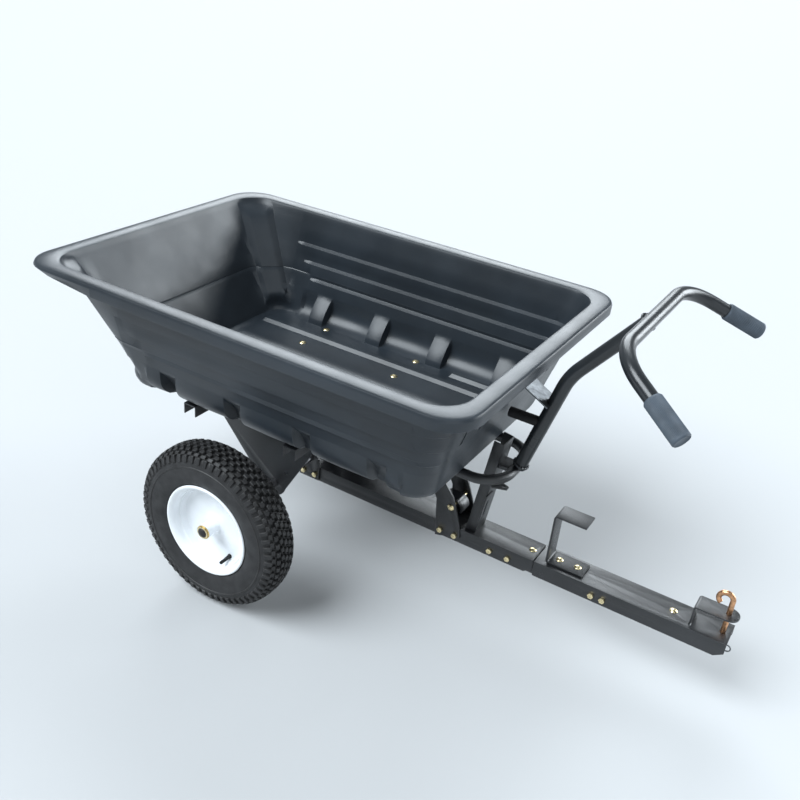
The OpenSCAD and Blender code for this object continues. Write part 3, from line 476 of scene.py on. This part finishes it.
# ---- Grips ----
# Two moulded rubber sleeves pushed on the handlebar's arms, finely ribbed along their length, with a plain
# collar at the mouth and a rounded closed end.
grip_rubber = finish("grip_rubber", (0.070, 0.088, 0.110), 0.58, mottle=0.15, mottle_size=0.03, grain=0.35,
                     grain_size=0.0008, specular=0.35)
grip_r = 0.019
grip_length = 0.092
rib_count = 44
rib_height = 0.0007
for side, name in ((1, "left_grip"), (-1, "right_grip")):
    bpy.ops.object.select_all(action="DESELECT")
    bpy.ops.mesh.primitive_cylinder_add(vertices=rib_count * 4, radius=grip_r, depth=grip_length)
    grip = bpy.context.object
    bpy.ops.object.mode_set(mode="EDIT")
    bpy.ops.mesh.select_mode(type="FACE")
    for height in (-0.5, -0.46, -0.455, 0.42, 0.425, 0.47):
        bpy.ops.mesh.select_all(action="SELECT")
        bpy.ops.mesh.bisect(plane_co=(0, 0, height * grip_length), plane_no=(0, 0, 1))
    bpy.ops.mesh.select_all(action="DESELECT")
    bpy.ops.object.mode_set(mode="OBJECT")
    for face in grip.data.polygons:
        face.select = abs(face.normal.z) > 0.9
    bpy.ops.object.mode_set(mode="EDIT")
    bpy.ops.mesh.inset(thickness=0.0025)
    bpy.ops.mesh.inset(thickness=0.0015, depth=-0.0012)
    bpy.ops.object.mode_set(mode="OBJECT")
    for vertex in grip.data.vertices:
        co = vertex.co
        radius = math.hypot(co.x, co.y)
        if radius > grip_r - 0.0001:
            turn = math.atan2(co.y, co.x)
            ribbed = -0.46 * grip_length < co.z < 0.43 * grip_length
            scale = 1 - (rib_height / grip_r) * (0.5 - 0.5 * math.cos(rib_count * turn)) * ribbed
            if abs(co.z) > 0.499 * grip_length:
                scale = 1 - 0.0022 / grip_r
            vertex.co = (co.x * scale, co.y * scale, co.z)
    tip = Vector(on_arm(arm_reach, side * grip_half))
    along = (tip - Vector(on_arm(0, side * bar_half))).normalized()
    grip.rotation_mode = "QUATERNION"
    grip.rotation_quaternion = Vector((0, 0, 1)).rotation_difference(along)
    grip.location = tip + along * (0.003 - grip_length / 2)
    settle(grip, name + "_sleeve", "tray", "grip_rubber", grip_rubber, name, smooth=40)


# ---- Column bracket, its bolts and the buffer ----
# A bright folded bracket bolted to the tub's front wall that steadies the column, and a rubber buffer
# below it. The bolts are zinc plated and passivated to a pale yellow.
bright_steel = finish("bright_zinc_steel", (0.17, 0.18, 0.19), 0.5, metal=1.0, mottle=0.14, mottle_size=0.012,
                      grain=0.15, grain_size=0.0007, sheen_spread=0.09)
yellow_zinc = finish("yellow_zinc_plate", (0.82, 0.70, 0.42), 0.28, metal=1.0, mottle=0.16, mottle_size=0.006,
                     grain=0.10, grain_size=0.0006, sheen_spread=0.08)
black_rubber = finish("black_rubber", (0.012, 0.012, 0.013), 0.68, mottle=0.25, mottle_size=0.02, grain=0.4,
                      grain_size=0.0009, specular=0.3)
eased("column_bracket", "column_bracket_sheet", "tray", "bright_steel", bright_steel, ease_by=0.0006)
eased("bracket_bolts", "bracket_bolt_set", "tray", "zinc", yellow_zinc, ease_by=0.0005)
eased("column_spacer", "column_buffer", "tray", "black_rubber", black_rubber, ease_by=0.0015, steps=3)
eased("tub_bolts", "tub_bolt_set", "tray", "zinc", yellow_zinc, ease_by=0.0003)
eased("tub_nuts", "tub_nut_set", "tray", "zinc", yellow_zinc, ease_by=0.0005)


# ---- Drawbar ----
# Two lengths of folded channel in black textured powder coat, joined over an inner channel and bolted
# through, with the bent edges rounded and the cut ends left square.
eased("drawbar_rear", "drawbar_rear_channel", "frame", "powder_coat", powder_coat, ease_by=0.0014, steps=3)
eased("drawbar_front", "drawbar_front_channel", "frame", "powder_coat", powder_coat, ease_by=0.0014, steps=3)
eased("splice_channel", "splice_inner_channel", "frame", "powder_coat", powder_coat)
for node in ("axle_ears", "guide_plates", "axle_collars"):
    eased(node, node + "_steel", "frame", "powder_coat", powder_coat)
eased("latch_lever", "latch_lever_steel", "latch", "powder_coat", powder_coat)
for node in ("splice_bolts", "ear_bolts", "guide_bolts", "step_bolts", "tongue_bolt", "latch_pin",
             "axle_washers"):
    eased(node, node + "_plated", "frame", "zinc", yellow_zinc, ease_by=0.0005)


# ---- Step bracket and hitch tongue ----
# Flat bar folded over a round former, so the outside of each bend is a smooth curve: the upright bracket
# on the drawbar, and the tongue that rises through the drawbar's slot and reaches over the pin.
def folded_strip(path, half_width, bend, round_end=0.0):
    """Flat bar folded along a path in the upright plane, its outer face. The path's first run is level."""
    (x0, z0), (x1, _) = path[:2]
    bpy.ops.object.select_all(action="DESELECT")
    bpy.ops.mesh.primitive_plane_add(size=1, location=((x0 + x1) / 2, 0, z0))
    strip = bpy.context.object
    strip.scale = (abs(x1 - x0), 2 * half_width, 1)
    bpy.ops.object.transform_apply(location=True, rotation=True, scale=True)

    def pick(mode, wanted):
        bpy.ops.object.mode_set(mode="EDIT")
        bpy.ops.mesh.select_mode(type=mode)
        bpy.ops.mesh.select_all(action="DESELECT")
        bpy.ops.object.mode_set(mode="OBJECT")
        for vertex in strip.data.vertices:
            vertex.select = mode == "VERT" and wanted(vertex.co)
        for edge in strip.data.edges:
            edge.select = mode == "EDGE" and all(wanted(strip.data.vertices[v].co) for v in edge.vertices)
        bpy.ops.object.mode_set(mode="EDIT")

    def at(x, z):
        return lambda co: abs(co.x - x) < 1e-5 and abs(co.z - z) < 1e-5

    for (xa, za), (xb, zb) in zip(path[1:], path[2:]):
        pick("EDGE", at(xa, za))
        bpy.ops.mesh.extrude_region_move(TRANSFORM_OT_translate={"value": (xb - xa, 0, zb - za)})
    if round_end:
        pick("VERT", at(*path[-1]))
        bpy.ops.mesh.bevel(affect="VERTICES", offset=round_end, segments=14)
    for x, z in path[1:-1]:
        pick("EDGE", at(x, z))
        bpy.ops.mesh.bevel(affect="EDGES", offset=bend, segments=6)
    bpy.ops.mesh.select_all(action="SELECT")
    bpy.ops.mesh.normals_make_consistent(inside=False)
    bpy.ops.object.mode_set(mode="OBJECT")
    if strip.data.polygons[0].normal.z < 0:
        strip.data.flip_normals()
    return strip


def close_and_ease(strip, thick, side, ease_by):
    """Gives a folded strip its thickness and rounds its cut edges."""
    apply_modifier(strip, "SOLIDIFY", thickness=thick, offset=side)
    bpy.ops.object.mode_set(mode="EDIT")
    bpy.ops.mesh.select_all(action="SELECT")
    bpy.ops.mesh.normals_make_consistent(inside=False)
    bpy.ops.object.mode_set(mode="OBJECT")
    apply_modifier(strip, "BEVEL", width=ease_by, segments=2, limit_method="ANGLE",
                   angle_limit=math.radians(40))


(foot_x, _, bar_top), (foot_end, step_half, step_top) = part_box("step_bracket")
step_t = 0.005
step = folded_strip([(foot_end, bar_top), (foot_x, bar_top), (foot_x, step_top), (foot_x + 0.078, step_top)],
                    step_half, 0.009)
close_and_ease(step, step_t, 1, 0.0007)
settle(step, "step_bracket_strip", "frame", "powder_coat", powder_coat, "step_bracket")

(tongue_foot, _, tongue_low), (tongue_end, tongue_half, tongue_top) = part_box("hitch_tongue")
tongue_t = 0.004
tongue_rise = x_axle + 1.004
pin_x = tongue_end - 0.024
tongue = folded_strip([(tongue_foot, tongue_low + tongue_t), (tongue_rise, tongue_low + tongue_t),
                       (tongue_rise, tongue_top), (tongue_end, tongue_top)], tongue_half, 0.007, round_end=0.0235)
close_and_ease(tongue, tongue_t, -1, 0.0006)
bpy.ops.mesh.primitive_cylinder_add(vertices=40, radius=0.0066, depth=0.02, location=(pin_x, 0, tongue_top))
drill = bpy.context.object
apply_modifier(tongue, "BOOLEAN", object=drill, operation="DIFFERENCE", solver="EXACT")
bpy.data.objects.remove(drill)
settle(tongue, "hitch_tongue_strip", "frame", "powder_coat", powder_coat, "hitch_tongue")


# ---- Hitch pin and spring clip ----
# A copper-washed steel rod bent to an open curl at the top, through the tongue and the drawbar, and a
# spring wire clip with a round finger ring through its foot.
copper_wash = finish("copper_washed_rod", (0.60, 0.33, 0.18), 0.30, metal=1.0, mottle=0.22, mottle_size=0.008,
                     grain=0.2, grain_size=0.0008, worn=(0.62, 0.55, 0.48), edge=0.001, sheen_spread=0.1)
pin_r = 0.006
curl_r = 0.015
curl_z = tongue_top + 0.034
pin_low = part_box("hitch_pin")[0][2]
clip_z = pin_low + 0.014
curl = [(pin_x - curl_r + curl_r * math.cos(math.radians(a)), 0, curl_z + curl_r * math.sin(math.radians(a)))
        for a in range(0, 235, 6)]
pin = tube_along([(pin_x, 0, pin_low)] + curl, pin_r, sides=28)
apply_modifier(pin, "BEVEL", width=0.0012, segments=3, limit_method="ANGLE", angle_limit=math.radians(60))
settle(pin, "hitch_pin_rod", "hitch_pin", "copper_finish", copper_wash, "hitch_pin")
wire_r = 0.0015
ring_r = 0.008
ring_x = pin_x + 0.010 + ring_r
bpy.ops.object.select_all(action="DESELECT")
bpy.ops.mesh.primitive_torus_add(location=(ring_x, 0, clip_z), rotation=(math.radians(90), 0, 0),
                                 major_radius=ring_r, minor_radius=wire_r, major_segments=48, minor_segments=12)
clip = bpy.context.object
wire = tube_along([(pin_x - 0.014, 0, clip_z), (pin_x + 0.0102, 0, clip_z)], wire_r, sides=12)
only(clip)
wire.select_set(True)
bpy.ops.object.join()
settle(clip, "hairpin_clip_wire", "hairpin_clip", "bright_steel", bright_steel, "hairpin_clip")


# ---- Axle ----
# A solid steel bar through both wheels, left as rolled, with a black push-on cap over each end.
rolled_bar = finish("rolled_bar_steel", (0.20, 0.20, 0.21), 0.42, metal=1.0, mottle=0.25, mottle_size=0.02,
                    grain=0.3, grain_size=0.001)
cap_black = finish("axle_cap_black", (0.014, 0.014, 0.015), 0.45, mottle=0.2, mottle_size=0.01, grain=0.2,
                   grain_size=0.0008)
eased("axle", "axle_bar", "frame", "axle_steel", rolled_bar, ease_by=0.0008)
eased("axle_end_bolts", "axle_caps", "frame", "black_bolt", cap_black, ease_by=0.0003)


# ---- Wheels ----
# Pressed steel wheels in gloss white: a rolled flange, a stepped barrel, a dished disc and a hub tube with a
# bronze bush in each end. Each is drawn as one profile and spun about the axle.
white_gloss = finish("wheel_white_gloss", (0.84, 0.87, 0.90), 0.22, coat=0.5, mottle=0.03, mottle_size=0.05,
                     grain=0.05, grain_size=0.002, worn=(0.62, 0.63, 0.62), edge=0.001, sheen_spread=0.05)
bronze = finish("bush_bronze", (0.62, 0.44, 0.17), 0.34, metal=1.0, mottle=0.2, mottle_size=0.005, grain=0.15,
                grain_size=0.0006)
axle_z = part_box("left_tyre")[1][2] / 2
wheel_y = (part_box("left_tyre")[0][1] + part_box("left_tyre")[1][1]) / 2
wheel_places = [(hand, Matrix.Translation((x_axle, side * wheel_y, axle_z)) @ Matrix.Diagonal((1, side, 1, 1)))
                for hand, side in (("left", 1), ("right", -1))]


def spun(profile, steps, name):
    """A closed ring turned about the axle line from (out, radius) points, out being away from the cart."""
    bpy.ops.object.select_all(action="DESELECT")
    mesh = bpy.data.meshes.new(name)
    count = len(profile)
    mesh.from_pydata([(0, out, radius) for out, radius in profile],
                     [(i, (i + 1) % count) for i in range(count)], [])
    ring = bpy.data.objects.new(name, mesh)
    bpy.context.scene.collection.objects.link(ring)
    only(ring)
    bpy.ops.object.mode_set(mode="EDIT")
    bpy.ops.mesh.select_all(action="SELECT")
    bpy.ops.mesh.spin(steps=steps, angle=2 * math.pi, center=(0, 0, 0), axis=(0, 1, 0))
    bpy.ops.mesh.select_all(action="SELECT")
    bpy.ops.mesh.remove_doubles(threshold=0.00001)
    bpy.ops.mesh.normals_make_consistent(inside=False)
    bpy.ops.object.mode_set(mode="OBJECT")
    return ring


# (out, radius): the outer face from the flange in to the hub, then the back face out again
wheel_profile = [
    (0.0395, 0.1150), (0.0415, 0.1140), (0.0424, 0.1120), (0.0420, 0.1095), (0.0405, 0.1065), (0.0375, 0.1035),
    (0.0340, 0.1005), (0.0300, 0.0990), (0.0230, 0.0985), (0.0205, 0.0970), (0.0190, 0.0945), (0.0150, 0.0935),
    (0.0085, 0.0925), (0.0045, 0.0895), (0.0030, 0.0840), (0.0035, 0.0760), (0.0050, 0.0640), (0.0065, 0.0500),
    (0.0070, 0.0380), (0.0078, 0.0270), (0.0105, 0.0205), (0.0150, 0.0178), (0.0200, 0.0170), (0.0435, 0.0170),
    (0.0440, 0.0165), (0.0440, 0.0136), (-0.0440, 0.0136), (-0.0440, 0.0165), (-0.0435, 0.0170),
    (-0.0100, 0.0170), (-0.0050, 0.0178), (0.0020, 0.0205), (0.0040, 0.0270), (0.0038, 0.0380), (0.0030, 0.0500),
    (0.0015, 0.0640), (0.0000, 0.0760), (-0.0005, 0.0840), (0.0000, 0.0920), (-0.0010, 0.0955),
    (-0.0150, 0.0965), (-0.0190, 0.0970), (-0.0205, 0.0980), (-0.0230, 0.0985), (-0.0300, 0.0990),
    (-0.0340, 0.1005), (-0.0375, 0.1035), (-0.0405, 0.1065), (-0.0420, 0.1095), (-0.0424, 0.1120),
    (-0.0415, 0.1140), (-0.0395, 0.1150), (-0.0380, 0.1140), (-0.0378, 0.1100), (-0.0350, 0.1040),
    (-0.0320, 0.1012), (0.0320, 0.1012), (0.0350, 0.1040), (0.0378, 0.1100), (0.0380, 0.1140)]
dish = spun(wheel_profile, 120, "wheel_dish")
valve_hole_r = 0.0052
valve_r = 0.085
valve_turn = math.radians(60)
valve_place = (valve_r * math.cos(valve_turn), 0, -valve_r * math.sin(valve_turn))
bpy.ops.mesh.primitive_cylinder_add(vertices=32, radius=valve_hole_r, depth=0.03, location=valve_place,
                                    rotation=(math.radians(90), 0, 0))
punch = bpy.context.object
apply_modifier(dish, "BOOLEAN", object=punch, operation="DIFFERENCE", solver="EXACT")
bpy.data.objects.remove(punch)

# Valve: a rubber stem that swells at its root, with a plain cap above a narrow groove
stem_profile = [(0.000, 0.0050), (0.004, 0.0060), (0.007, 0.0050), (0.020, 0.0042), (0.026, 0.0039),
                (0.0262, 0.0036), (0.0270, 0.0036), (0.0272, 0.0041), (0.0355, 0.0039), (0.0362, 0.0032),
                (0.0362, 0.0004), (0.000, 0.0004)]
stem = spun(stem_profile, 28, "valve_stem")
bush_profile = [(0.0200, 0.0135), (0.0440, 0.0135), (0.0440, 0.0166), (0.0443, 0.0170), (0.0466, 0.0170),
                (0.0470, 0.0166), (0.0470, 0.0108), (0.0464, 0.0102), (0.0200, 0.0102)]
bush = spun(bush_profile, 64, "bush")


def copy_of(piece, moves):
    """A copy with its own mesh, moved by a matrix, with its faces turned outwards."""
    copy = bpy.data.objects.new(piece.name, piece.data.copy())
    bpy.context.scene.collection.objects.link(copy)
    copy.data.transform(moves)
    if moves.determinant() < 0:
        copy.data.flip_normals()
    return copy


for hand, place in wheel_places:
    settle(copy_of(dish, place), hand + "_wheel_pressing", hand + "_wheel", "white_paint", white_gloss,
           hand + "_wheel")
    settle(copy_of(stem, place @ Matrix.Translation(valve_place)), hand + "_valve_stem", hand + "_wheel",
           "black_rubber", black_rubber, hand + "_valve")
    pair = [copy_of(bush, place), copy_of(bush, place @ Matrix.Diagonal((1, -1, 1, 1)))]
    only(pair[0])
    pair[1].select_set(True)
    bpy.ops.object.join()
    settle(pair[0], hand + "_bush_pair", hand + "_wheel", "brass", bronze, hand + "_bushes")
for spare in (dish, stem, bush):
    bpy.data.objects.remove(spare)


# ---- Tyres ----
# Pneumatic turf tyres: a smooth sidewall with a raised line, and a crown of small staggered blocks that
# ends in a row of bars over each shoulder.
tyre_rubber = finish("tyre_rubber", (0.022, 0.022, 0.023), 0.50, mottle=0.3, mottle_size=0.03, grain=0.4,
                     grain_size=0.0012, worn=(0.055, 0.050, 0.044), edge=0.0012, specular=0.35)
tyre_profile = [
    (-0.0310, 0.1016), (-0.0335, 0.1060), (-0.0365, 0.1160), (-0.0400, 0.1180), (-0.0425, 0.1230),
    (-0.0448, 0.1320), (-0.0458, 0.1430), (-0.0458, 0.1530), (-0.0452, 0.1600), (-0.0464, 0.1612),
    (-0.0464, 0.1632), (-0.0448, 0.1645), (-0.0436, 0.1720), (-0.0400, 0.1805), (-0.0340, 0.1880),
    (-0.0260, 0.1925), (-0.0140, 0.1950), (0.0, 0.1958), (0.0140, 0.1950), (0.0260, 0.1925), (0.0340, 0.1880),
    (0.0400, 0.1805), (0.0436, 0.1720), (0.0448, 0.1645), (0.0464, 0.1632), (0.0464, 0.1612), (0.0452, 0.1600),
    (0.0458, 0.1530), (0.0458, 0.1430), (0.0448, 0.1320), (0.0425, 0.1230), (0.0400, 0.1180), (0.0365, 0.1160),
    (0.0335, 0.1060), (0.0310, 0.1016), (0.0220, 0.1016), (0.0340, 0.1220), (0.0390, 0.1450), (0.0340, 0.1750),
    (0.0, 0.1880), (-0.0340, 0.1750), (-0.0390, 0.1450), (-0.0340, 0.1220), (-0.0220, 0.1016)]
carcass = spun(tyre_profile, 128, "tyre_carcass")
pitches = 60


def tread_block(out, radius, lean, size, turn, shift):
    """One moulded block: out from the middle, its outer face at a radius, leaned over the shoulder."""
    length, across, deep = size
    bpy.ops.object.select_all(action="DESELECT")
    bpy.ops.mesh.primitive_cube_add(size=1)
    block = bpy.context.object
    for vertex in block.data.vertices:
        taper = 0.86 if vertex.co.z > 0 else 1.08
        vertex.co = (vertex.co.x * length * taper, vertex.co.y * across * taper, vertex.co.z * deep)
    only(block)
    bpy.ops.object.mode_set(mode="EDIT")
    bpy.ops.mesh.select_all(action="SELECT")
    bpy.ops.mesh.bisect(plane_co=(0, 0, 0), plane_no=(0, 1, 0))
    bpy.ops.object.mode_set(mode="OBJECT")
    for vertex in block.data.vertices:
        vertex.co.x += turn * abs(vertex.co.y)
    apply_modifier(block, "BEVEL", width=0.0008, segments=1, limit_method="ANGLE", angle_limit=math.radians(50))
    lie = (Matrix.Rotation(shift * 2 * math.pi / pitches, 4, "Y") @ Matrix.Translation((0, out, radius))
           @ Matrix.Rotation(-lean, 4, "X") @ Matrix.Translation((0, 0, -deep / 2)))
    block.data.transform(lie)
    return block


tread = []
for side in (-1, 1):
    tread.append(tread_block(side * 0.0125, 0.2024, side * math.radians(5), (0.0125, 0.0105, 0.0085),
                             0.5, 0.5 + 0.15 * side))
    tread.append(tread_block(side * 0.0245, 0.2002, side * math.radians(16), (0.0125, 0.0105, 0.0090),
                             -0.5, 0.15 * side))
    tread.append(tread_block(side * 0.0350, 0.1940, side * math.radians(38), (0.0125, 0.0095, 0.0095),
                             0.4, 0.5 + 0.15 * side))
    tread.append(tread_block(side * 0.0432, 0.1830, side * math.radians(70), (0.0105, 0.0190, 0.0050),
                             0.0, 0.15 * side))
tread.append(tread_block(0, 0.2029, 0, (0.0130, 0.0110, 0.0085), 0.6, 0.0))
only(tread[0])
for block in tread[1:]:
    block.select_set(True)
bpy.ops.object.join()
tread = tread[0]
bpy.ops.object.mode_set(mode="EDIT")
bpy.ops.mesh.select_all(action="SELECT")
bpy.ops.mesh.spin(steps=pitches - 1, dupli=True, angle=2 * math.pi * (pitches - 1) / pitches, center=(0, 0, 0),
                  axis=(0, 1, 0))
bpy.ops.object.mode_set(mode="OBJECT")
only(carcass)
tread.select_set(True)
bpy.ops.object.join()
for hand, place in wheel_places:
    settle(copy_of(carcass, place), hand + "_turf_tyre", hand + "_wheel", "tyre_rubber", tyre_rubber,
           hand + "_tyre", smooth=30)
    tube_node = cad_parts[hand + "_inner_tube"]
    tube_node.data.materials.clear()
    tube_node.data.materials.append(black_rubber)
bpy.data.objects.remove(carcass)


# ---- Floor, light and camera ----
# A plain pale floor, a soft dome, broad even lights from behind, from the left and from high up, a weak
# one from the right, and a camera at the front right of the cart, looking down.
bpy.ops.object.select_all(action="DESELECT")
bpy.ops.mesh.primitive_plane_add(size=60, location=(0, 0, 0))
floor = bpy.context.object
floor.name = "floor"
floor_paint = bpy.data.materials.new("floor_pale")
floor_paint.use_nodes = True
floor_shader = floor_paint.node_tree.nodes["Principled BSDF"]
floor_shader.inputs["Base Color"].default_value = (0.49, 0.50, 0.51, 1)
floor_shader.inputs["Roughness"].default_value = 0.9
floor.data.materials.append(floor_paint)
world = bpy.data.worlds.new("studio")
world.use_nodes = True
cool_white = (0.88, 0.95, 1.0)
dome = world.node_tree.nodes["Background"]
dome.inputs["Color"].default_value = (*cool_white, 1)
dome.inputs["Strength"].default_value = 0.26
bpy.context.scene.world = world


def broad_light(name, toward, height, spread, power):
    """An even light from far off, placed by its side in plan and its height, both in degrees."""
    data = bpy.data.lights.new(name, "SUN")
    data.angle = math.radians(spread)
    data.energy = power
    data.color = cool_white
    light = bpy.data.objects.new(name, data)
    side, up = math.radians(toward), math.radians(height)
    shine = Vector((-math.cos(side) * math.cos(up), -math.sin(side) * math.cos(up), -math.sin(up)))
    light.rotation_mode = "QUATERNION"
    light.rotation_quaternion = shine.to_track_quat("-Z", "Y")
    bpy.context.scene.collection.objects.link(light)


broad_light("back_light", 120, 32, 42, 2.6)
broad_light("left_light", 52, 13, 35, 2.9)
broad_light("top_light", 232, 50, 42, 4.2)
broad_light("right_light", 324, 26, 50, 0.5)

# The camera's turn round the cart, its tip down and its roll, then its three directions
turn, tip, roll = math.radians(28.67), math.radians(28.95), math.radians(6.07)
eye = Vector((x_axle + 1.157, -1.707, 1.515))
back = Vector((math.sin(turn) * math.cos(tip), -math.cos(turn) * math.cos(tip), math.sin(tip)))
level = Vector((math.cos(turn), math.sin(turn), 0))
raised = back.cross(level)
across = math.cos(roll) * level + math.sin(roll) * raised
upright = -math.sin(roll) * level + math.cos(roll) * raised
camera_data = bpy.data.cameras.new("camera")
camera_data.sensor_width = 36
camera_data.lens = 41.544
camera = bpy.data.objects.new("camera", camera_data)
camera.matrix_world = Matrix((across, upright, back)).transposed().to_4x4()
camera.location = eye
bpy.context.scene.collection.objects.link(camera)
bpy.context.scene.camera = camera
bpy.context.scene.view_settings.view_transform = "Standard"

bpy.context.view_layer.update()
